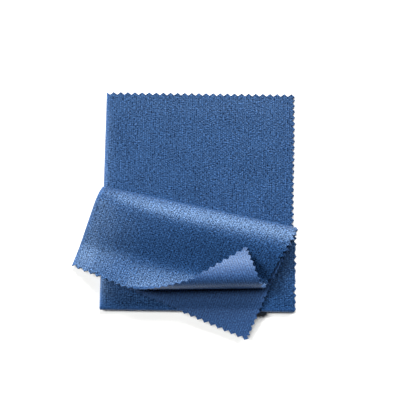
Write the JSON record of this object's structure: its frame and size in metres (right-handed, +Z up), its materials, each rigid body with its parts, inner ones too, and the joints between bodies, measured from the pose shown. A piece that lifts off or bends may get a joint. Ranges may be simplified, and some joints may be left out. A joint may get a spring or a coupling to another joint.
{
  "type": "microfibre cloth",
  "caption": "Knitted cleaning cloth with a pinked edge, folded flat, its front half turned down on a slant and a free corner curled up and back.",
  "frame": {"origin": "on the surface it lies on, below the middle of the whole folded cloth", "axes": "+Z up from the surface; +X from the closed left crease towards the open side; +Y from the lower fold towards the open back edge"},
  "size_m": [0.2022, 0.2276, 0.0289],
  "materials": {
    "microfibre": "mid-blue warp-knitted microfibre, brushed outer face with fine wales, smoother ribbed inner face"
  },
  "bodies": {
    "root": {"cloth": "microfibre"}
  },
  "joints": []
}
